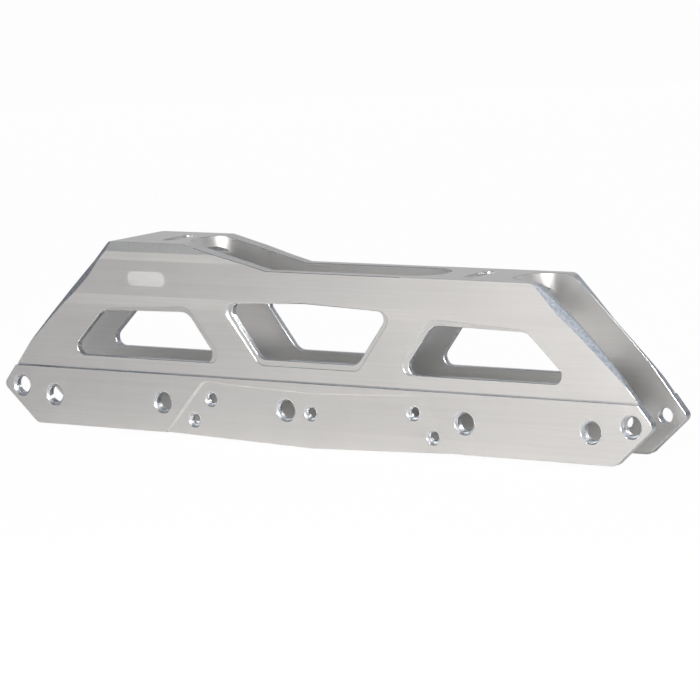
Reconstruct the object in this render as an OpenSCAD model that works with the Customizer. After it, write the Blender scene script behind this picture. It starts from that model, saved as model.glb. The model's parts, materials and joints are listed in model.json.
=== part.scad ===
// Inline skate frame, milled from light alloy, with seven axle holes in each side
// so that the wheels can be set in different layouts.
// Two side walls carry the axles and are tied by a heel deck and a toe deck for the boot.
// +X points to the toe, -Y is the side with the plain axle bores, +Z is up.
// The lowest point of the rails, under the middle, is at z = 0.

/* [Overall] */
// Length over both tips
frame_len = 354.2; // [346:0.2:372]
// Width across the two lower rails
rail_w = 35.2; // [34:0.2:38]
// Clear width of the wheel channel between the walls
channel_w = 26.6; // [24:0.2:28]

/* [Rails] */
// Distance from the axle row down to the flat underside of a rail
rail_drop = 14.4; // [12:0.2:17]
// Distance from the axle row up to the ledge on top of a rail
rail_rise = 13; // [11:0.2:15]
// How much lower the shallow vee hangs at the middle
vee_drop = 2.6; // [1:0.2:5]
// Half length of the shallow vee
vee_half = 82; // [76:1:92]
// Distance from the middle to the corner where the underside turns up to a tip
turn_x = 158.5; // [156:0.5:162]
// Height of the tip point above the axle row
tip_rise = 3.4; // [2.5:0.1:4.5]
// Radius of the tip
tip_r = 3; // [1:0.1:3]
// Radius of the corner where the underside turns up
turn_r = 5; // [2:0.5:9]
// Depth of the ledge between rail and wall, also the depth of the rail recess
ledge_d = 1.2; // [0.8:0.1:1.6]
// Height of the undercut at the foot of the wall, over the ledge
undercut_h = 0.5; // [0.3:0.1:0.8]
// Depth of that undercut
undercut_d = 0.6; // [0.3:0.1:0.8]

/* [Rail recess] */
// Half length of the recess along the underside
recess_foot = 81.7; // [78:0.1:84]
// Half length of the recess along its top
recess_head = 59.4; // [56:0.2:62]
// Gap between the ledge and the recess top at its outer corners
recess_rib = 2.3; // [1.6:0.1:3.5]
// How much lower the recess top lies at the middle
recess_sag = 2.2; // [0:0.1:4]
// Radius of the upper recess corners
recess_r = 5; // [1:0.5:8]

/* [Axle holes] */
// Distance from the middle to the outermost axle holes
axle_x1 = 166.9; // [164:0.1:168]
// Height of the outermost axle holes above the axle row
axle_up1 = 3.5; // [2:0.1:4.5]
// Distance from the middle to the second axle holes
axle_x2 = 147.1; // [142:0.1:150]
// Distance from the middle to the inner axle holes
axle_x3 = 82.9; // [81:0.1:92]
// Offset of the single middle axle hole, towards the heel
axle_mid = 13.6; // [11:0.1:22]
// Diameter of the plain axle bores
axle_d = 8; // [7:0.1:8.4]
// Diameter of the countersink rim at the plain bores
axle_sink_d = 10.5; // [9.5:0.1:11]
// Core diameter of the threaded axle holes
axle_core_d = 6.8; // [6:0.1:7]

/* [Small fixing holes] */
// Distance from the middle to the outer fixing holes
fix_x1 = 65.6; // [63:0.1:67]
// Distance of the outer fixing holes below the axle row
fix_down1 = 7.6; // [6.5:0.1:8.5]
// Distance from the middle to the inner fixing holes
fix_x2 = 55.6; // [52:0.1:56.5]
// Distance of the inner fixing holes above the axle row
fix_up2 = 2.7; // [1.5:0.1:4]
// Distance of the middle fixing hole below the axle row
fix_down3 = 0.7; // [0:0.1:2]
// Core diameter of the fixing holes
fix_core_d = 4.2; // [3.2:0.1:5]
// Diameter of the countersink rim at the fixing holes
fix_sink_d = 6.9; // [6:0.1:7.4]

/* [Side walls] */
// Distance from the ledge up to the level where the wall starts to swell
cove_rise = 25; // [22:0.5:27]
// Distance from the ledge up to the middle of the swell
swell_rise = 31.5; // [30:0.5:33]
// Width over the walls at the middle of the swell
swell_w = 34.8; // [34.8:0.1:35.6]
// Distance from the ledge up to the ridge line
ridge_rise = 36.8; // [35.5:0.1:38]
// Width over the walls where they start to swell
cove_w = 34; // [33.4:0.1:34.8]
// Width over the walls at the ridge line
ridge_w = 37; // [36:0.2:38]
// Width over the walls at the toe deck
toe_w = 38.2; // [37:0.2:39]
// Distance from the middle to the bend in the sloping end faces
end_bend_x = 160.2; // [157:0.2:163]
// Distance from the ledge up to that bend
end_bend_rise = 13; // [11:0.5:15]
// Radius that blends the bend in the end faces
end_bend_r = 60; // [20:5:90]
// Angle between the end faces and the vertical, just above the bend
end_lean = 42.8; // [42:0.1:44]
// Radius of the slightly bowed end faces above the bend
end_face_r = 630; // [560:10:800]
// Distance from the ledge up to the apex of the facets that trim the wall ends at the toe
toe_facet_rise = 30; // [28:0.2:32]
// Wall thickness left on the end face at that apex
toe_facet_skin = 0.9; // [0.8:0.1:1.6]
// Distance from the ledge up to the apex of the facets that trim the wall ends at the heel
heel_facet_rise = 52; // [50:0.2:54]
// Wall thickness left on the end face at that apex
heel_facet_skin = 2.2; // [1.8:0.1:2.6]

/* [Decks] */
// Distance from the ledge up to the toe deck
toe_rise = 51; // [48:0.5:54]
// Height step from the toe deck up to the heel platform
heel_step = 11.2; // [9:0.2:13]
// Where the ramp between the two decks ends, towards the heel from the middle
ramp_foot = 19.9; // [12:0.5:28]
// Where the ramp starts at the heel platform, towards the heel from the middle
ramp_head = 65.2; // [60:0.2:68]
// Plate thickness of the decks
deck_t = 5; // [4:0.1:6.5]
// Radius of the cove under the decks, along the walls
deck_cove_r = 4; // [1:0.5:6]
// Width over the heel platform
heel_w = 41.8; // [40.4:0.2:44]
// Width over the upper arris of the heel shoulder
heel_arris_w = 41.8; // [41:0.1:42.4]
// Height of the heel shoulder, platform to lower arris
shoulder_h = 8.7; // [7.5:0.1:10.5]
// Height of the upper facet of the heel shoulder
shoulder_top_h = 4.6; // [3.5:0.1:6]
// Radius of the rear corner of the heel platform
heel_corner_r = 8; // [3:0.5:12]
// Radius of the front corner of the toe deck
toe_corner_r = 9; // [4:0.5:12]
// Distance from the middle of the heel slot to the heel end of the deck opening
deck_open_heel = 10.5; // [8.5:0.5:22.5]
// Distance from the middle to the toe end of the deck opening
deck_open_toe = 66; // [60:0.5:70]
// Distance from the middle to the root of the toe notch
notch_x = 102; // [99:0.5:104]

/* [Boot mount] */
// Distance between the two mounting slots
mount_span = 165; // [160:0.5:170]
// Width of a mounting slot, along the frame
slot_w = 6.2; // [5:0.1:8]
// Length of a mounting slot, across the frame
slot_l = 21; // [14:0.5:23]

/* [Windows] */
// Distance from the ledge up to the bottom of the side windows
side_sill = 6.8; // [6:0.1:8]
// Distance from the ledge up to the top of the side windows, inner end
side_head = 29.8; // [28:0.1:31]
// Fall of the side window top towards its outer end
side_fall = 1.1; // [0:0.1:2]
// Distance from the middle to the inner lower corner of a side window
side_in_x = 50; // [48:0.5:53]
// Distance from the middle to the outer lower corner of a side window
side_out_x = 138.2; // [134:0.2:141]
// Run of the inner slanted edge per millimetre of height
side_in_lean = 0.745; // [0.6:0.005:0.8]
// Run of the outer slanted edge per millimetre of height
side_out_lean = 1; // [0.85:0.01:1.1]
// Distance from the ledge up to the bottom of the centre window
mid_sill = 9.8; // [9:0.1:12]
// Distance from the ledge up to the top of the centre window, at its ends
mid_head = 34.8; // [32:0.1:35]
// Rise of the centre window top to its peak at the middle
mid_peak = 1.9; // [0:0.1:3]
// Half length of the centre window bottom
mid_in_x = 26.4; // [24:0.2:28]
// Run of the centre window ends per millimetre of height
mid_lean = 0.755; // [0.65:0.005:0.8]
// Radius of the lower corners of the side windows
win_r_low = 4; // [1:0.5:6]
// Radius of the upper corners of the side windows
win_r_high = 8; // [2:0.5:10]
// Radius of the lower corners of the centre window
mid_r_low = 6; // [2:0.5:8]
// Radius of the upper corners of the centre window
mid_r_high = 4; // [1:0.5:6]
// Width of the flat relief beside the slanted edges, measured along the frame
relief_w = 2.7; // [1.5:0.1:3.5]
// Height of the relief over the outer end of a side window
relief_end = 0.9; // [0.4:0.1:1.4]
// Width over the relief floors of both walls
relief_over = 32.6; // [32.2:0.1:33]

/* [Hidden] */
$fn = 64;
arc_steps = 8;
end_steps = 4;

alloy = [0.80, 0.80, 0.78];
deck_alloy = [0.72, 0.72, 0.70];

// Outward directions of the two planes of an end facet on the +Y side. The heel ones are
// written as they stand after mirroring to the toe
toe_facet_low = [1, 1.1, 1.027];
toe_facet_high = [1, 1.15, 0.84];
heel_facet_low = [1, 1.7, 1.045];
heel_facet_high = [1, 1.2, 0.79];

// Heights above the lowest point
axle_z = rail_drop + vee_drop;
ledge_z = axle_z + rail_rise;
toe_z = ledge_z + toe_rise;
heel_z = toe_z + heel_step;
ridge_z = ledge_z + ridge_rise;
swell_z = ledge_z + swell_rise;
cove_z = ledge_z + cove_rise;
bend_z = ledge_z + end_bend_rise;
sill_z = ledge_z + side_sill;
side_top_z = ledge_z + side_head;
mid_sill_z = ledge_z + mid_sill;
mid_top_z = ledge_z + mid_head;
recess_z = ledge_z - recess_rib;

// Half widths
channel_y = channel_w / 2;
rail_y = rail_w / 2;
root_y = rail_y - ledge_d;
cove_y = cove_w / 2;
swell_y = swell_w / 2;
ridge_y = ridge_w / 2;
toe_y = toe_w / 2;
arris_y = heel_arris_w / 2;
heel_y = heel_w / 2;
relief_y = relief_over / 2;

// Heel shoulder: the wall flares from its root out to the arris, under the edge of the platform
shoulder_z = heel_z - shoulder_h;
shoulder_y = toe_y + (shoulder_z - toe_z) * (toe_y - ridge_y) / (toe_z - ridge_z);
arris_z = heel_z - shoulder_top_h;

// Working lengths for cutters that run past the part
past = 5;
reach = frame_len;

// Sloping end faces: straight from the bend to the tip, and a wide arc above the bend
tip_z = axle_z + tip_rise;
end_middle = [end_bend_x, bend_z] - end_face_r * [cos(end_lean), sin(end_lean)];

// The sharp corner of the tip lies past the rounded tip, so that frame_len is the true length
tip_end = [frame_len / 2, tip_z];
tip_up = ([end_bend_x, bend_z] - tip_end) / norm([end_bend_x, bend_z] - tip_end);
tip_down = ([turn_x, vee_drop] - tip_end) / norm([turn_x, vee_drop] - tip_end);
tip_half = acos(tip_up * tip_down) / 2;
tip_x = frame_len / 2 - tip_r * (1 + (tip_up + tip_down).x / norm(tip_up + tip_down) / sin(tip_half));

// The outer rails start halfway between two axle holes
rail_split = (axle_x2 + axle_x3) / 2;
// The decks take in the wall tops as far as the round ends of the deck opening reach
heel_split = mount_span / 2 - deck_open_heel - channel_y;
toe_split = deck_open_toe - channel_y;

// Run of the slanted recess ends per millimetre of height
recess_run = (recess_foot - recess_head) / (recess_z - vee_drop);

// Level where a deck with its top at this height begins, under the coves of its plate
function deck_floor(top) = top - deck_t - deck_cove_r;

// Point arc that rounds the corner b between a and c
function corner_arc(a, b, c, r) =
    let (u = (a - b) / norm(a - b),
         v = (c - b) / norm(c - b),
         half = acos(u * v) / 2,
         room = 0.45 * min(norm(a - b), norm(c - b)) * tan(half),
         rr = min(r, room),
         mid = b + (u + v) / norm(u + v) * rr / sin(half),
         s = b + u * rr / tan(half),
         e = b + v * rr / tan(half),
         a0 = atan2(s.y - mid.y, s.x - mid.x),
         a1 = atan2(e.y - mid.y, e.x - mid.x),
         turn = (a1 - a0 + 540) % 360 - 180)
    [for (i = [0:arc_steps]) mid + rr * [cos(a0 + turn * i / arc_steps), sin(a0 + turn * i / arc_steps)]];

// Outline with each corner rounded by its own radius, 0 keeps it sharp
function rounded(pts, radii) =
    [for (i = [0:len(pts) - 1])
        each (radii[i] > 0
              ? corner_arc(pts[(i + len(pts) - 1) % len(pts)], pts[i], pts[(i + 1) % len(pts)], radii[i])
              : [pts[i]])];

// Where the arc of a corner starts and ends in an outline whose corners so far are all rounded
function arc_start(corner) = corner * (arc_steps + 1);
function arc_end(corner) = arc_start(corner) + arc_steps;

function flip_x(pts) = [for (p = pts) [-p.x, p.y]];
function backwards(pts) = [for (i = [len(pts) - 1:-1:0]) pts[i]];

// Distance from the middle to the toe end face at the height z above the bend
function end_x(z) = end_middle.x + sqrt(end_face_r ^ 2 - (z - end_middle.y) ^ 2);

// End face of the toe in side view, from the bend up to the height top
function end_line(top) =
    [for (i = [0:end_steps]) let (z = bend_z + (top - bend_z) * i / end_steps) [end_x(z), z]];

// Corner radii along that line: the blended bend, the bow and the corner r under the deck
function end_radii(r) = [end_bend_r, for (i = [2:end_steps]) 0, r];

// Side view of the whole frame, from the vee at the middle round to the tips and decks
module side_view() {
    polygon(rounded(
        concat([[0, 0], [vee_half, vee_drop], [turn_x, vee_drop], [tip_x, tip_z]],
               end_line(toe_z),
               [[-ramp_foot, toe_z], [-ramp_head, heel_z]],
               backwards(flip_x(end_line(heel_z))),
               [[-tip_x, tip_z], [-turn_x, vee_drop], [-vee_half, vee_drop]]),
        concat([0, 0, turn_r, tip_r], end_radii(toe_corner_r), [0, 0],
               backwards(end_radii(heel_corner_r)), [tip_r, turn_r, 0])));
}

// Outer line of a wall section on the +Y side, from the ledge up over the swell to the heel shoulder
function wall_line() =
    let (neck_y = root_y - undercut_d,
         neck_z = ledge_z + undercut_h)
    [[neck_y, ledge_z], [neck_y, neck_z], [root_y, neck_z],
     [cove_y, cove_z], [swell_y, swell_z], [ridge_y, ridge_z],
     [shoulder_y, shoulder_z], [arris_y, arris_z], [heel_y, heel_z]];

// Section across one lower rail on the +Y side
module rail_section() {
    translate([channel_y, -past]) square([rail_y - channel_y, ledge_z + past]);
}

// Section across one wall above its ledge on the +Y side
module wall_section() {
    polygon(concat([[channel_y, ledge_z]], wall_line(), [[channel_y, heel_z]]));
}

// Section across both walls and the deck plate between them, coved into the walls underneath
module deck_section(top) {
    r = deck_cove_r;
    middle = [channel_y - r, deck_floor(top)];
    cove = [for (i = [0:arc_steps]) middle + r * [cos(90 * i / arc_steps), sin(90 * i / arc_steps)]];
    half = concat(backwards(cove), [[channel_y, ledge_z]], wall_line());
    polygon(concat(half, backwards(flip_x(half))));
}

// Extrudes a side view across the frame, from y0 to y1
module across(y0, y1) {
    translate([0, y1, 0]) rotate([90, 0, 0]) linear_extrude(y1 - y0) children();
}

// Extrudes a cross section along the whole frame
module along() {
    rotate([90, 0, 90]) linear_extrude(reach + 2 * past, center = true) children();
}

// Outline of the side window on the toe side, grow widens it to the edge of its relief
function side_window(grow) =
    let (top_z = side_top_z + grow,
         in_x = side_in_x - grow + (top_z - sill_z) * side_in_lean,
         end_z = side_top_z - side_fall + grow * relief_end / relief_w,
         out_x = side_out_x - (end_z - sill_z) * side_out_lean)
    rounded([[side_in_x - grow, sill_z], [side_out_x, sill_z], [out_x, end_z], [in_x, top_z]],
            [win_r_low, win_r_low, win_r_high, win_r_high]);

// Outline of the centre window, grow widens its ends and its bottom to the edge of its relief
function mid_window(grow) =
    let (low_x = mid_in_x + grow - grow * mid_lean,
         high_x = mid_in_x + grow + (mid_top_z - mid_sill_z) * mid_lean)
    rounded([[-low_x, mid_sill_z - grow], [low_x, mid_sill_z - grow],
             [high_x, mid_top_z], [0, mid_top_z + mid_peak], [-high_x, mid_top_z]],
            [mid_r_low, mid_r_low, mid_r_high, 0, mid_r_high]);

module all_windows(grow) {
    polygon(side_window(grow));
    polygon(flip_x(side_window(grow)));
    polygon(mid_window(grow));
}

// Recess on the outer face of the rails, under its shallow pointed top
module recess_outline() {
    foot_x = recess_foot + (vee_drop + past) * recess_run;
    polygon(rounded([[-foot_x, -past], [foot_x, -past], [recess_head, recess_z],
                     [0, recess_z - recess_sag], [-recess_head, recess_z]],
                    [0, 0, recess_r, 0, recess_r]));
}

// Block that fills everything beyond the plane through p with the outward normal n
module beyond(p, n) {
    translate(p) rotate([0, acos(n.z / norm(n)), atan2(n.y, n.x)])
        translate([-reach, -reach, 0]) cube([2 * reach, 2 * reach, reach]);
}

// Lens shaped facet that trims the swelling wall at its toe end, on the +Y side
module end_facet(rise, skin, low, high) {
    apex = [end_x(ledge_z + rise), channel_y + skin, ledge_z + rise];
    intersection() {
        beyond(apex, low);
        beyond(apex, high);
    }
}

// The facets at both ends, on the +Y side
module end_facets() {
    end_facet(toe_facet_rise, toe_facet_skin, toe_facet_low, toe_facet_high);
    mirror([1, 0, 0]) end_facet(heel_facet_rise, heel_facet_skin, heel_facet_low, heel_facet_high);
}

// Whole lower rail on the +Y side, before it is divided and drilled
module rail() {
    difference() {
        intersection() {
            across(0, reach) side_view();
            along() rail_section();
        }
        across(root_y, reach) recess_outline();
    }
}

// Whole wall on the +Y side, before it is divided into its members
module wall() {
    difference() {
        intersection() {
            across(0, reach) side_view();
            along() wall_section();
        }
        across(0, reach) all_windows(0);
        across(relief_y, reach) all_windows(relief_w);
        end_facets();
    }
}

// Lines where the posts and pillars meet the sill, and where they meet the beams.
// Each runs from the centre window over the pillar and the side window to the toe end,
// through the ends of the corner arcs, so that every corner stays whole.
function low_seam() =
    let (side = side_window(0), middle = mid_window(0))
    [middle[arc_end(1)], side[arc_start(0)], side[arc_end(1)], [reach, side[arc_end(1)].y]];
function high_seam() =
    let (side = side_window(0), middle = mid_window(0))
    [middle[arc_start(2)], side[arc_end(3)], side[arc_start(2)], [reach, side[arc_start(2)].y]];

// Regions of the side view that belong to each member
module sill_region() {
    seam = low_seam();
    polygon(concat([[-reach, ledge_z], [reach, ledge_z]], backwards(seam), flip_x(seam)));
}

module pillar_region() {
    polygon([low_seam()[0], low_seam()[1], high_seam()[1], high_seam()[0]]);
}

module post_region() {
    polygon([low_seam()[2], low_seam()[3], high_seam()[3], high_seam()[2]]);
}

// Everything above the windows from x0 to x1, up to the height top
module beam_region(x0, x1, top) {
    seam = high_seam();
    intersection() {
        polygon(concat([[reach, top], [-reach, top]], backwards(flip_x(seam)), seam));
        translate([x0, 0]) square([x1 - x0, top]);
    }
}

// One member of the +Y wall, cut from the whole wall by a region of the side view
module member() {
    color(alloy) intersection() {
        wall();
        across(0, reach) children();
    }
}

// Hole across one wall on the +Y side, with a cone of 45 degrees at the outer face
module wall_hole(x, z, d, sink_d, face_y) {
    sink = (sink_d - d) / 2;
    translate([x, channel_y - past, z]) rotate([-90, 0, 0])
        cylinder(h = face_y - channel_y + 2 * past, d = d);
    translate([x, face_y - sink, z]) rotate([-90, 0, 0]) cylinder(h = sink + 1, d1 = d, d2 = sink_d + 2);
}

// Axle holes: the near wall has plain bores, the far wall has threaded holes
module axle_holes(d, sink_d) {
    for (side = [-1, 1]) {
        wall_hole(side * axle_x1, axle_z + axle_up1, d, sink_d, rail_y);
        wall_hole(side * axle_x2, axle_z, d, sink_d, rail_y);
        wall_hole(side * axle_x3, axle_z, d, sink_d, rail_y);
    }
    wall_hole(-axle_mid, axle_z, d, sink_d, root_y);
}

// Small threaded fixing holes of the near wall
module fixing_holes() {
    for (side = [-1, 1]) {
        wall_hole(side * fix_x1, axle_z - fix_down1, fix_core_d, fix_sink_d, root_y);
        wall_hole(side * fix_x2, axle_z + fix_up2, fix_core_d, fix_sink_d, root_y);
    }
    wall_hole(0, axle_z - fix_down3, fix_core_d, fix_sink_d, root_y);
}

// Length of a rail from x0 to x1 with its threaded axle holes, on the far wall
module far_rail(x0, x1) {
    color(alloy) difference() {
        intersection() {
            rail();
            translate([x0, 0, -past]) cube([x1 - x0, reach, reach]);
        }
        axle_holes(axle_core_d, axle_d);
    }
}

// Length of a rail from x0 to x1 with its plain bores and fixing holes, on the near wall
module near_rail(x0, x1) {
    color(alloy) mirror([0, 1, 0]) difference() {
        intersection() {
            rail();
            translate([x0, 0, -past]) cube([x1 - x0, reach, reach]);
        }
        axle_holes(axle_d, axle_sink_d);
        fixing_holes();
    }
}

// Members of the far wall, on the +Y side, by name
module far_heel_rail() { far_rail(-reach, -rail_split); }
module far_center_rail() { far_rail(-rail_split, rail_split); }
module far_toe_rail() { far_rail(rail_split, reach); }
module far_sill() { member() sill_region(); }
module far_heel_post() { member() mirror([1, 0]) post_region(); }
module far_heel_pillar() { member() mirror([1, 0]) pillar_region(); }
module far_toe_pillar() { member() pillar_region(); }
module far_toe_post() { member() post_region(); }
module far_heel_beam() { member() beam_region(-reach, -heel_split, deck_floor(heel_z)); }
module far_ramp_beam() { member() beam_region(-heel_split, -ramp_foot, heel_z + past); }
module far_center_beam() { member() beam_region(-ramp_foot, toe_split, toe_z + past); }
module far_toe_beam() { member() beam_region(toe_split, reach, deck_floor(toe_z)); }

// Members of the near wall, on the -Y side, mirror images except for the holes in the rails
module near_heel_rail() { near_rail(-reach, -rail_split); }
module near_center_rail() { near_rail(-rail_split, rail_split); }
module near_toe_rail() { near_rail(rail_split, reach); }
module near_sill() { mirror([0, 1, 0]) far_sill(); }
module near_heel_post() { mirror([0, 1, 0]) far_heel_post(); }
module near_heel_pillar() { mirror([0, 1, 0]) far_heel_pillar(); }
module near_toe_pillar() { mirror([0, 1, 0]) far_toe_pillar(); }
module near_toe_post() { mirror([0, 1, 0]) far_toe_post(); }
module near_heel_beam() { mirror([0, 1, 0]) far_heel_beam(); }
module near_ramp_beam() { mirror([0, 1, 0]) far_ramp_beam(); }
module near_center_beam() { mirror([0, 1, 0]) far_center_beam(); }
module near_toe_beam() { mirror([0, 1, 0]) far_toe_beam(); }

// Opening between the decks, with round ends as wide as the channel
module deck_opening() {
    translate([-heel_split, -channel_y, 0]) cube([heel_split + toe_split, channel_w, reach]);
    for (x = [-heel_split, toe_split]) translate([x, 0, 0]) cylinder(h = reach, r = channel_y);
}

// Mounting slot across the deck at the distance x from the middle
module mount_slot(x) {
    half = (slot_l - slot_w) / 2;
    translate([x - slot_w / 2, -half, 0]) cube([slot_w, 2 * half, reach]);
    for (y = [-half, half]) translate([x, y, 0]) cylinder(h = reach, d = slot_w);
}

// Round notch at the front of the toe deck
module toe_notch() {
    translate([notch_x + channel_y, 0, 0]) cylinder(h = reach, r = channel_y);
    translate([notch_x + channel_y, -channel_y, 0]) cube([reach, channel_w, reach]);
}

// Deck plate from x0 to x1 with the wall tops on both sides of it
module deck(top, x0, x1) {
    difference() {
        intersection() {
            along() deck_section(top);
            across(-reach, reach) side_view();
            translate([x0, -reach, deck_floor(top)]) cube([x1 - x0, 2 * reach, reach]);
        }
        deck_opening();
        end_facets();
        mirror([0, 1, 0]) end_facets();
    }
}

module heel_deck() {
    color(deck_alloy) difference() {
        deck(heel_z, -reach, -heel_split);
        mount_slot(-mount_span / 2);
    }
}

module toe_deck() {
    color(deck_alloy) difference() {
        deck(toe_z, toe_split, reach);
        mount_slot(mount_span / 2);
        toe_notch();
    }
}

near_heel_rail();
near_center_rail();
near_toe_rail();
near_sill();
near_heel_post();
near_heel_pillar();
near_toe_pillar();
near_toe_post();
near_heel_beam();
near_ramp_beam();
near_center_beam();
near_toe_beam();
far_heel_rail();
far_center_rail();
far_toe_rail();
far_sill();
far_heel_post();
far_heel_pillar();
far_toe_pillar();
far_toe_post();
far_heel_beam();
far_ramp_beam();
far_center_beam();
far_toe_beam();
heel_deck();
toe_deck();
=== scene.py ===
import json
import math

import bmesh
import bpy
from mathutils import Matrix, Vector
from mathutils.bvhtree import BVHTree


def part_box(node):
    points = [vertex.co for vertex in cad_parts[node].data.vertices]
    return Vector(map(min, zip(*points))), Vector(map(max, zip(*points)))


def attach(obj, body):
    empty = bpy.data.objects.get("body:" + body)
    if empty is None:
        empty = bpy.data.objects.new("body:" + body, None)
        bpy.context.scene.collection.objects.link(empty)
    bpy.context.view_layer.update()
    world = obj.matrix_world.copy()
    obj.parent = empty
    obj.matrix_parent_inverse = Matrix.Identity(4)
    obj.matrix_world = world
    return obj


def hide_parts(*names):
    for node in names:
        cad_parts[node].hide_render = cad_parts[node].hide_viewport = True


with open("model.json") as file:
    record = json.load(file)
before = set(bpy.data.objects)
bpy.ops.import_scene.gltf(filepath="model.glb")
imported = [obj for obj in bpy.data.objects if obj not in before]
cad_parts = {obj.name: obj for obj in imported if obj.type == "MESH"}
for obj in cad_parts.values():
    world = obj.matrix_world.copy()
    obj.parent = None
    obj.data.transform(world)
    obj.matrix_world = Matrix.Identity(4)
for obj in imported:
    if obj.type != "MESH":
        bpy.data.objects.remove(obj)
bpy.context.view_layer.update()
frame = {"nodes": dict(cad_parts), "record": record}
print("skate frame loaded:", len(frame["nodes"]), "members")


def linearColour(hexCode):  # sRGB hex to the linear values that Blender works in
    parts = [int(hexCode[i:i + 2], 16) / 255 for i in (1, 3, 5)]
    return [c / 12.92 if c <= 0.04045 else ((c + 0.055) / 1.055) ** 2.4 for c in parts] + [1.0]


def addNode(owner, kind, settings=None, links=None):  # one node with its incoming links
    node = owner.node_tree.nodes.new(kind)
    for key, value in (settings or {}).items():
        if isinstance(key, int) or key in node.inputs:
            node.inputs[key].default_value = value
        else:
            setattr(node, key, value)
    for key, source in (links or {}).items():
        owner.node_tree.links.new(source, node.inputs[key])
    return node


def newMaterial(name):
    material = bpy.data.materials.new(name)
    material.use_nodes = True
    material.node_tree.nodes.clear()
    return material


def mixTones(material, factor, first, second):  # from the first tone to the second, both sRGB hex
    mix = addNode(material, "ShaderNodeMix", {"data_type": "RGBA"}, {"Factor": factor})
    mix.inputs[6].default_value = linearColour(first)  # the node's sockets 6 and 7 are its two colours
    mix.inputs[7].default_value = linearColour(second)
    return mix.outputs[2]


satinAlloy = {
    "tone": "#F5F5F4",       # clear anodised aluminium
    "toneDeep": "#E9E9E8",   # the same where the tone drifts deeper
    "deepFrom": 0.5,         # strength of the drift that gives toneDeep in full
    "driftScale": 22.0,      # per m, slow drift of the tone over the walls
    "roughness": 0.36,
    "roughnessSwing": 0.04,  # either way, between one cutter line and the next
    "blastSize": 0.45,       # mm, real bead marks are near 0.1 and would not show
    "blastDepth": 0.006,     # mm
    "lineSpacing": 1.1,      # mm, cutter lines along the wall, real ones are near 0.2
    "lineDepth": 0.005,      # mm
    "lineWander": 6.0,       # per m, changes of a cutter line along its length
}


etchedPanel = {              # plain pill-shaped laser mark on the near wall, under the heel deck
    "middle": (-88.3, 74.9),  # mm, along the frame and up
    "length": 22,            # mm
    "height": 7.2,           # mm
    "softness": 0.25,        # mm, from the mark's edge to its full strength
    "metallic": 0.7,
}


def panelMask(material, place):  # 1 on the laser mark, 0 elsewhere
    radius = etchedPanel["height"] / 2 / 1000
    straight = etchedPanel["length"] / 2 / 1000 - radius
    place = addNode(material, "ShaderNodeSeparateXYZ", None, {"Vector": place})
    side = addNode(material, "ShaderNodeMath", {"operation": "SUBTRACT", 1: etchedPanel["middle"][0] / 1000},
                   {0: place.outputs["X"]})
    side = addNode(material, "ShaderNodeMath", {"operation": "ABSOLUTE"}, {0: side.outputs[0]})
    side = addNode(material, "ShaderNodeMath", {"operation": "SUBTRACT", 1: straight}, {0: side.outputs[0]})
    side = addNode(material, "ShaderNodeMath", {"operation": "MAXIMUM", 1: 0.0}, {0: side.outputs[0]})
    rise = addNode(material, "ShaderNodeMath", {"operation": "SUBTRACT", 1: etchedPanel["middle"][1] / 1000},
                   {0: place.outputs["Z"]})
    spot = addNode(material, "ShaderNodeCombineXYZ", None, {"X": side.outputs[0], "Y": rise.outputs[0]})
    away = addNode(material, "ShaderNodeVectorMath", {"operation": "LENGTH"}, {0: spot.outputs[0]})
    return addNode(material, "ShaderNodeMapRange",
                   {"From Min": radius, "From Max": radius - etchedPanel["softness"] / 1000},
                   {"Value": away.outputs["Value"]}).outputs[0]


def makeSatinAlloy(etched):
    # clear anodised aluminium, milled then bead blasted: an even pale sheen with faint lines along the wall
    material = newMaterial("etchedAnodisedAluminium" if etched else "clearAnodisedAluminium")
    place = addNode(material, "ShaderNodeTexCoord").outputs["Object"]
    blast = addNode(material, "ShaderNodeTexNoise",
                    {"Scale": 1000 / satinAlloy["blastSize"], "Detail": 2.0, "Roughness": 0.6},
                    {"Vector": place})
    stretched = addNode(material, "ShaderNodeMapping",
                        {"Scale": (satinAlloy["lineWander"], 1.0, 1000 / satinAlloy["lineSpacing"])},
                        {"Vector": place})
    lines = addNode(material, "ShaderNodeTexNoise", {"Scale": 1.0, "Detail": 2.0},
                    {"Vector": stretched.outputs[0]})
    drift = addNode(material, "ShaderNodeTexNoise", {"Scale": satinAlloy["driftScale"], "Detail": 3.0},
                    {"Vector": place})
    streaks = addNode(material, "ShaderNodeMath", {"operation": "MULTIPLY"},
                      {0: drift.outputs[0], 1: lines.outputs[0]})
    streaks = addNode(material, "ShaderNodeMapRange", {"From Min": 0.0, "From Max": satinAlloy["deepFrom"]},
                      {"Value": streaks.outputs[0]})
    tone = mixTones(material, streaks.outputs[0], satinAlloy["tone"], satinAlloy["toneDeep"])
    rough = addNode(material, "ShaderNodeMapRange",
                    {"To Min": satinAlloy["roughness"] - satinAlloy["roughnessSwing"],
                     "To Max": satinAlloy["roughness"] + satinAlloy["roughnessSwing"]},
                    {"Value": lines.outputs[0]})
    lineBump = addNode(material, "ShaderNodeBump",
                       {"Strength": 1.0, "Distance": satinAlloy["lineDepth"] / 1000},
                       {"Height": lines.outputs[0]})
    blastBump = addNode(material, "ShaderNodeBump",
                        {"Strength": 1.0, "Distance": satinAlloy["blastDepth"] / 1000},
                        {"Height": blast.outputs[0], "Normal": lineBump.outputs[0]})
    skin = addNode(material, "ShaderNodeBsdfPrincipled", {"Metallic": 1.0},
                   {"Base Color": tone, "Roughness": rough.outputs[0], "Normal": blastBump.outputs[0]})
    if etched:  # the laser leaves a white oxide skin that shines less
        metal = addNode(material, "ShaderNodeMapRange", {"To Min": 1.0, "To Max": etchedPanel["metallic"]},
                        {"Value": panelMask(material, place)})
        material.node_tree.links.new(metal.outputs[0], skin.inputs["Metallic"])
    addNode(material, "ShaderNodeOutputMaterial", None, {"Surface": skin.outputs[0]})
    return material


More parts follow.
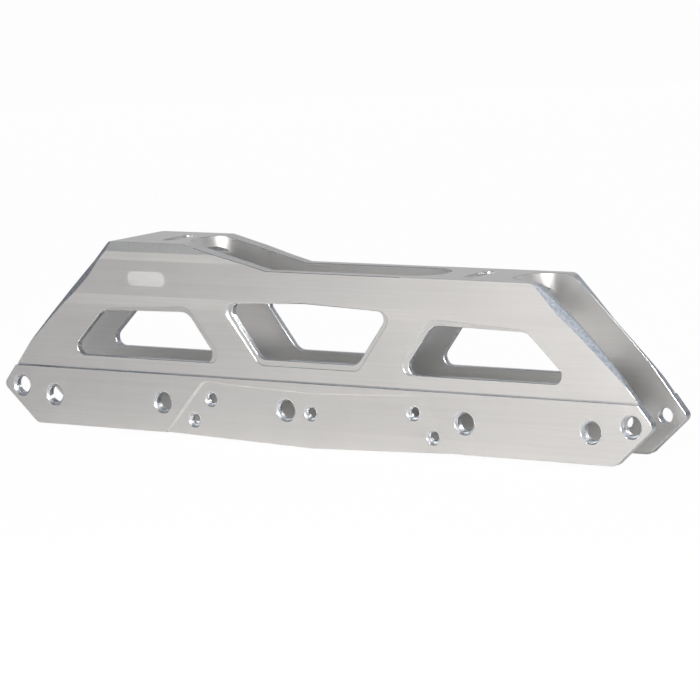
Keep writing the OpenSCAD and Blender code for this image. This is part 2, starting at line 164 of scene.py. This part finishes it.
brightAlloy = {
    "tone": "#F0F0F1",       # bare bright aluminium
    "roughness": 0.2,
    "lineSpacing": 0.5,      # mm, turning marks, real ones are near 0.1
    "lineDepth": 0.002,      # mm
}


def makeBrightAlloy():
    # the same aluminium where the last cutter left it bright: the broken edges glint in a thin line
    material = newMaterial("brightMilledAluminium")
    place = addNode(material, "ShaderNodeTexCoord").outputs["Object"]
    lines = addNode(material, "ShaderNodeTexNoise",
                    {"Scale": 1000 / brightAlloy["lineSpacing"], "Detail": 2.0}, {"Vector": place})
    bump = addNode(material, "ShaderNodeBump", {"Strength": 1.0, "Distance": brightAlloy["lineDepth"] / 1000},
                   {"Height": lines.outputs[0]})
    skin = addNode(material, "ShaderNodeBsdfPrincipled",
                   {"Base Color": linearColour(brightAlloy["tone"]), "Metallic": 1.0,
                    "Roughness": brightAlloy["roughness"]}, {"Normal": bump.outputs[0]})
    addNode(material, "ShaderNodeOutputMaterial", None, {"Surface": skin.outputs[0]})
    return material


blastedAlloyWithPaintedShade = {
    "tone": "#EEF1F4",       # between the pits
    "toneDeep": "#BCC4CC",   # in the pits: painted shade, with a painted cool reflection
    "toneBandPaintedShade": "#E6E7E4",   # instead of toneDeep on the side of the heel platform: painted shade that makes that band a little darker than the satin walls
    "roughness": 0.34,
    "grain": 1.4,            # mm, real bead marks are near 0.1 and would not show
    "grainDepth": 0.05,      # mm
    "grainMiddle": 0.5,      # the noise lies about this value
    "contrast": 3.0,         # from one tone to the other in this part of the noise's range
}


def makeBlastedAlloyWithPaintedShade(name, toneDeep):
    # the same aluminium on the faces that the cutter left rough before blasting: a finely sparkling grain
    # whose low spots carry a deeper, cooler grey, which is painted shade in the pits and a painted reflection
    # of the bluish light above
    material = newMaterial(name)
    place = addNode(material, "ShaderNodeTexCoord").outputs["Object"]
    grain = addNode(material, "ShaderNodeTexNoise",
                    {"Scale": 1000 / blastedAlloyWithPaintedShade["grain"], "Detail": 3.0, "Roughness": 0.7},
                    {"Vector": place})
    middle = blastedAlloyWithPaintedShade["grainMiddle"]
    half = 1 / 2 / blastedAlloyWithPaintedShade["contrast"]
    # the deeper tone goes where the grain lies low: painted shade in the pits
    speckleAndPitShade = addNode(material, "ShaderNodeMapRange", {"From Min": middle - half, "From Max": middle + half},
                      {"Value": grain.outputs[0]})
    tone = mixTones(material, speckleAndPitShade.outputs[0], toneDeep, blastedAlloyWithPaintedShade["tone"])
    bump = addNode(material, "ShaderNodeBump",
                   {"Strength": 1.0, "Distance": blastedAlloyWithPaintedShade["grainDepth"] / 1000},
                   {"Height": grain.outputs[0]})
    skin = addNode(material, "ShaderNodeBsdfPrincipled",
                   {"Metallic": 1.0, "Roughness": blastedAlloyWithPaintedShade["roughness"]},
                   {"Base Color": tone, "Normal": bump.outputs[0]})
    addNode(material, "ShaderNodeOutputMaterial", None, {"Surface": skin.outputs[0]})
    return material


satinMaterial = makeSatinAlloy(False)
etchedMaterial = makeSatinAlloy(True)
brightMaterial = makeBrightAlloy()
# blast grain with painted shade and a painted cool reflection in its pits
blastedMaterialWithPaintedShade = makeBlastedAlloyWithPaintedShade("beadBlastedAluminiumWithPaintedShade", blastedAlloyWithPaintedShade["toneDeep"])
# painted shade on the side of the heel platform, over the same blast grain
bandMaterialPaintedShade = makeBlastedAlloyWithPaintedShade("lightlyBlastedAluminiumPaintedShade", blastedAlloyWithPaintedShade["toneBandPaintedShade"])
finishes = {"satin": 0, "bright": 1, "blastedWithPaintedShade": 2, "bandPaintedShade": 3}  # places of the materials on every member
print("finishes mixed")

edges = {
    "plain": 0.3,            # mm, every outer edge but the crisp ones and those of the end facets
    "crisp": 0.1,            # mm, edges of the decks, of the ledge and at the ends of the walls
    "sharpFrom": 24,         # degrees between two faces that count as an edge
    "creaseFrom": 1,         # degrees, the same between two faces of a wall's side
    "segments": 2,
    "recessRun": 0.45,       # mm, slanted face along the outer edge of the rail recess
}

cleaning = {
    "weld": 2e-6,            # m, corners nearer than this are one
    "cut": 1e-7,             # m, corners nearer than this to a cut lie on it
    "flatWithin": 0.6,       # degrees between two faces that are joined into one
}

seams = {                    # a seam is where the face of another member lies against this one
    "inset": 0.0003,         # m, from the edge to the point on the face that is tested
    "reach": 0.00003,        # m, the other face lies within this
    "facing": -0.9,          # and looks the other way at least so much
}

facings = {                  # parts of a face's normal
    "square": 0.9,           # from here on the face looks along that direction
    "edgeOn": 0.1,           # below this it lies along that direction
    "facetSide": (0.5, 0.85),  # end facets look to the side between these
    "facetEnd": 0.4,         # along the frame more than this
    "facetUp": 0.3,          # and up more than this
    "stepUp": 0.5,           # faces of the recess step look up less than this
}

zones = {                    # m, where the kinds of edges and faces lie on the frame
    "slack": 0.0001,         # either way of a height or side that comes from a member's box
    "ledgeRise": 0.001,      # from the top of the rails
    "ledgeSide": 0.015,      # the ledge lies outside this
    "endReach": 0.012,       # from the rail's top corner, along and up together
    "recessDrop": 0.001,     # the recess lies this far below the top of the rails
    "recessDepth": (0.001, 0.002),  # across the step, least and most
    "deckDrop": 0.001,       # upper sides lie at most this far below the toe deck's top
    "deckCutSide": 0.0134,   # the cut faces of the deck opening and the notch lie within this
}


def insidePoint(loop, step):  # a point on the face of the loop, a step away from the middle of its edge
    run = (loop.link_loop_next.vert.co - loop.vert.co).normalized()
    middle = (loop.vert.co + loop.link_loop_next.vert.co) / 2
    return middle + loop.face.normal.cross(run).normalized() * step


mounts = [(mount["kind"], round(mount["pos_m"][0], 5)) for mount in frame["record"]["mounts"]]
holeRows = {row for kind, row in mounts if kind != "flat_face"}  # m, middles of the holes along the frame
holeRows |= {-row for kind, row in mounts if kind == "other"}    # the toe slot mirrors the heel slot


def shapeOf(node):  # the CAD shape as a bmesh of whole faces, parted only at the middle of each hole
    shape = bmesh.new()
    shape.from_mesh(node.data)
    bmesh.ops.remove_doubles(shape, verts=shape.verts, dist=cleaning["weld"])
    reach = [v.co.x for v in shape.verts]
    for row in sorted(holeRows):
        if min(reach) < row < max(reach):
            cut = bmesh.ops.bisect_plane(shape, geom=shape.verts[:] + shape.edges[:] + shape.faces[:],
                                         dist=cleaning["cut"], plane_co=(row, 0, 0), plane_no=(1, 0, 0))
            for part in cut["geom_cut"]:
                if isinstance(part, bmesh.types.BMEdge):
                    part.seam = True
    bmesh.ops.dissolve_limit(shape, angle_limit=math.radians(cleaning["flatWithin"]), verts=shape.verts,
                             edges=shape.edges, delimit={"SEAM"})
    return shape


def neighbourTree(name):  # everything of the frame but this member, to find the seams
    corners, triangles = [], []
    for other, node in frame["nodes"].items():
        if other == name:
            continue
        start = len(corners)
        corners += [v.co.copy() for v in node.data.vertices]
        node.data.calc_loop_triangles()
        triangles += [[start + i for i in t.vertices] for t in node.data.loop_triangles]
    return BVHTree.FromPolygons(corners, triangles)


def onSeam(tree, edge):  # where another member goes on beyond the edge
    for loop in edge.link_loops:
        hit, normal, _, _ = tree.find_nearest(insidePoint(loop, seams["inset"]), seams["reach"])
        if hit is not None and normal.dot(loop.face.normal) < seams["facing"]:
            return True
    return False


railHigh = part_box("near_toe_rail")[1]
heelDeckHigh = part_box("heel_deck")[1]
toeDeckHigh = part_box("toe_deck")[1]


def isFacet(face):  # one of the lens-shaped facets that trim the wall ends
    least, most = facings["facetSide"]
    outward = least < abs(face.normal.y) < most
    return outward and abs(face.normal.x) > facings["facetEnd"] and face.normal.z > facings["facetUp"]


def byLedge(edge):  # on the ledge over the rails
    heights = [v.co.z for v in edge.verts]
    sides = [abs(v.co.y) for v in edge.verts]
    level = min(heights) > railHigh.z - zones["slack"] and max(heights) < railHigh.z + zones["ledgeRise"]
    return level and min(sides) > zones["ledgeSide"]


def byEnd(edge):  # at the end of a wall, over the rails
    heights = [v.co.z for v in edge.verts]
    ends = [abs(v.co.x) + v.co.z for v in edge.verts]
    return min(heights) > railHigh.z and min(ends) > railHigh.x + railHigh.z - zones["endReach"]


def edgeWidth(name, edge):  # mm, by where the edge lies on the frame
    if any(isFacet(face) for face in edge.link_faces):
        return 0.0
    if byLedge(edge) or byEnd(edge) or name.endswith("deck"):
        return edges["crisp"]
    return edges["plain"]


def isRecessRim(edge):  # outer edge of the step round the rail recess
    middle = (edge.verts[0].co + edge.verts[1].co) / 2
    if middle.z > railHigh.z - zones["recessDrop"] or abs(middle.y) < railHigh.y - zones["slack"]:
        return False
    steps = [face for face in edge.link_faces if abs(face.normal.y) < facings["edgeOn"]]
    if len(steps) != 1:
        return False
    sides = [abs(v.co.y) for v in steps[0].verts]
    least, most = zones["recessDepth"]
    return least < max(sides) - min(sides) < most and steps[0].normal.z < facings["stepUp"]


def finishOf(name, face):
    # satin on the sides, the deck tops and the cuts in the decks, blasted on the cuts through the walls, with
    # painted shade in the pits of its grain
    middle = face.calc_center_median()
    # the side of the heel platform gets painted shade: blast grain in a tone a little darker than the satin
    # walls
    if abs(middle.y) > heelDeckHigh.y - zones["slack"]:
        return finishes["bandPaintedShade"]
    onSide = abs(face.normal.y) > facings["square"]
    onTop = face.normal.z > facings["square"] and middle.z > toeDeckHigh.z - zones["deckDrop"]
    inDeck = (name.endswith("deck") and abs(face.normal.z) < facings["edgeOn"]
              and abs(middle.y) < zones["deckCutSide"])
    return finishes["satin"] if onSide or onTop or inDeck else finishes["blastedWithPaintedShade"]


def dressMember(name, node):  # the CAD member with broken edges and its finishes, which takes its place
    shape = shapeOf(node)
    tree = neighbourTree(name)
    weight = shape.edges.layers.float.new("bevel_weight_edge")
    for edge in shape.edges:
        if len(edge.link_faces) != 2 or edge.calc_face_angle_signed() < math.radians(edges["sharpFrom"]):
            continue
        if onSeam(tree, edge):
            continue
        edge[weight] = edgeWidth(name, edge) / edges["plain"]
    rim = [edge for edge in shape.edges if isRecessRim(edge)]
    for edge in rim:
        edge[weight] = 0.0
    for face in shape.faces:
        face.material_index = finishOf(name, face)
    if rim:
        bmesh.ops.bevel(shape, geom=rim, offset=edges["recessRun"] / 1000, offset_type="OFFSET", segments=1,
                        profile=0.5, affect="EDGES", material=finishes["satin"])
    for edge in shape.edges:
        turn = math.degrees(edge.calc_face_angle(0.0))
        onWall = all(abs(face.normal.y) > facings["square"] for face in edge.link_faces)
        edge.smooth = turn < (edges["creaseFrom"] if onWall else edges["sharpFrom"])
    mesh = bpy.data.meshes.new(name + "Skin")
    shape.to_mesh(mesh)
    shape.free()
    member = bpy.data.objects.new(name + "_member", mesh)
    bpy.context.collection.objects.link(member)
    mesh.materials.append(etchedMaterial if name == "near_heel_beam" else satinMaterial)
    mesh.materials.append(brightMaterial)
    mesh.materials.append(blastedMaterialWithPaintedShade)
    mesh.materials.append(bandMaterialPaintedShade)
    mesh.shade_smooth()
    bevel = member.modifiers.new("brokenEdges", "BEVEL")
    bevel.limit_method = "WEIGHT"
    bevel.width = edges["plain"] / 1000
    bevel.segments = edges["segments"]
    bevel.profile = 0.5
    bevel.material = finishes["bright"]
    bevel.use_clamp_overlap = False
    flat = member.modifiers.new("flatFaces", "WEIGHTED_NORMAL")
    flat.mode = "FACE_AREA"
    flat.weight = 100
    flat.keep_sharp = True
    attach(member, "root")
    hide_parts(name)
    return member


members = [dressMember(name, node) for name, node in frame["nodes"].items()]
print("members dressed:", len(members))

studio = {
    "floorTone": "#F6F4F1",
    "floorWash": 0.98,       # how much of the paper the camera sees as plain white
    "floorSize": 30.0,       # m, from the middle to each side
    "floorDrop": 0.0005,     # m, below the frame
    "worldTone": "#F4F6FF",
    "worldStrength": 0.245,
    "white": "#FFFFFF",
    "aim": (0, 0, 0.05),     # m, where the lamps point
    "lamps": {               # tone, size in m, power in W, place in m
        "toeSide": ("#FFFCF8", 0.4, 7.5, (0.32, -0.76, 0.29)),
        "overhead": ("#F2F5FF", 1.0, 1.7, (0.86, -0.44, 1.44)),
        "backTop": ("#FFFEFC", 0.8, 0.6, (0.3, 1.2, 0.9)),
        "behind": ("#FFFDF8", 1.6, 2.5, (-1.1, 1.7, 0.5)),
    },
}


def makeFloor():
    # pale matt paper under the frame: white to the camera, but it keeps the shadow
    material = newMaterial("mattPaper")
    paper = addNode(material, "ShaderNodeBsdfDiffuse", {"Color": linearColour(studio["floorTone"])})
    glow = addNode(material, "ShaderNodeEmission", {"Color": linearColour(studio["white"]), "Strength": 1.0})
    washed = addNode(material, "ShaderNodeMixShader", {"Fac": studio["floorWash"]},
                     {1: paper.outputs[0], 2: glow.outputs[0]})
    ray = addNode(material, "ShaderNodeLightPath")
    skin = addNode(material, "ShaderNodeMixShader", None,
                   {0: ray.outputs["Is Camera Ray"], 1: paper.outputs[0], 2: washed.outputs[0]})
    addNode(material, "ShaderNodeOutputMaterial", None, {"Surface": skin.outputs[0]})
    shape = bmesh.new()
    bmesh.ops.create_grid(shape, x_segments=1, y_segments=1, size=studio["floorSize"])
    bmesh.ops.translate(shape, verts=shape.verts, vec=(0, 0, -studio["floorDrop"]))
    mesh = bpy.data.meshes.new("floor")
    shape.to_mesh(mesh)
    shape.free()
    mesh.materials.append(material)
    floor = bpy.data.objects.new("floor", mesh)
    bpy.context.collection.objects.link(floor)


def addLamp(name, tone, size, power, place):
    data = bpy.data.lights.new(name, "AREA")
    data.color = linearColour(tone)[:3]
    data.size = size
    data.energy = power
    lamp = bpy.data.objects.new(name, data)
    lamp.location = place
    lamp.visible_camera = False
    lamp.rotation_euler = (Vector(studio["aim"]) - Vector(place)).to_track_quat("-Z", "Y").to_euler()
    bpy.context.collection.objects.link(lamp)


def makeWorld():
    # soft grey light for the frame, plain white to the camera
    world = bpy.data.worlds.new("studioAir")
    bpy.context.scene.world = world
    world.use_nodes = True
    world.node_tree.nodes.clear()
    soft = addNode(world, "ShaderNodeBackground",
                   {"Color": linearColour(studio["worldTone"]), "Strength": studio["worldStrength"]})
    white = addNode(world, "ShaderNodeBackground",
                    {"Color": linearColour(studio["white"]), "Strength": 1.0})
    ray = addNode(world, "ShaderNodeLightPath")
    mix = addNode(world, "ShaderNodeMixShader", None,
                  {0: ray.outputs["Is Camera Ray"], 1: soft.outputs[0], 2: white.outputs[0]})
    addNode(world, "ShaderNodeOutputWorld", None, {"Surface": mix.outputs[0]})


photoCamera = {
    "lens": 177.55,          # mm
    "sensor": 36.0,          # mm
    "farthest": 100.0,       # m
    "azimuth": 33.977,       # degrees, from square on the near wall round to the toe
    "height": 8.493,         # degrees
    "roll": -2.321,          # degrees
    "place": (0.88082, -1.28934, 0.27577),  # m
}


def makeCamera():
    data = bpy.data.cameras.new("photoCamera")
    data.lens = photoCamera["lens"]
    data.sensor_width = photoCamera["sensor"]
    data.clip_end = photoCamera["farthest"]
    camera = bpy.data.objects.new("photoCamera", data)
    azimuth, height, roll = (math.radians(photoCamera[turn]) for turn in ("azimuth", "height", "roll"))
    back = Vector((math.sin(azimuth) * math.cos(height), -math.cos(azimuth) * math.cos(height),
                   math.sin(height)))
    right = Vector((math.cos(azimuth), math.sin(azimuth), 0))
    up = back.cross(right)
    rolledRight = math.cos(roll) * right + math.sin(roll) * up
    rolledUp = -math.sin(roll) * right + math.cos(roll) * up
    turned = Matrix((rolledRight, rolledUp, back)).transposed().to_4x4()
    camera.matrix_world = Matrix.Translation(photoCamera["place"]) @ turned
    bpy.context.collection.objects.link(camera)
    bpy.context.scene.camera = camera


makeFloor()
for name, (tone, size, power, place) in studio["lamps"].items():
    addLamp(name, tone, size, power, place)
makeWorld()
makeCamera()
bpy.context.scene.view_settings.view_transform = "Standard"
print("studio set")
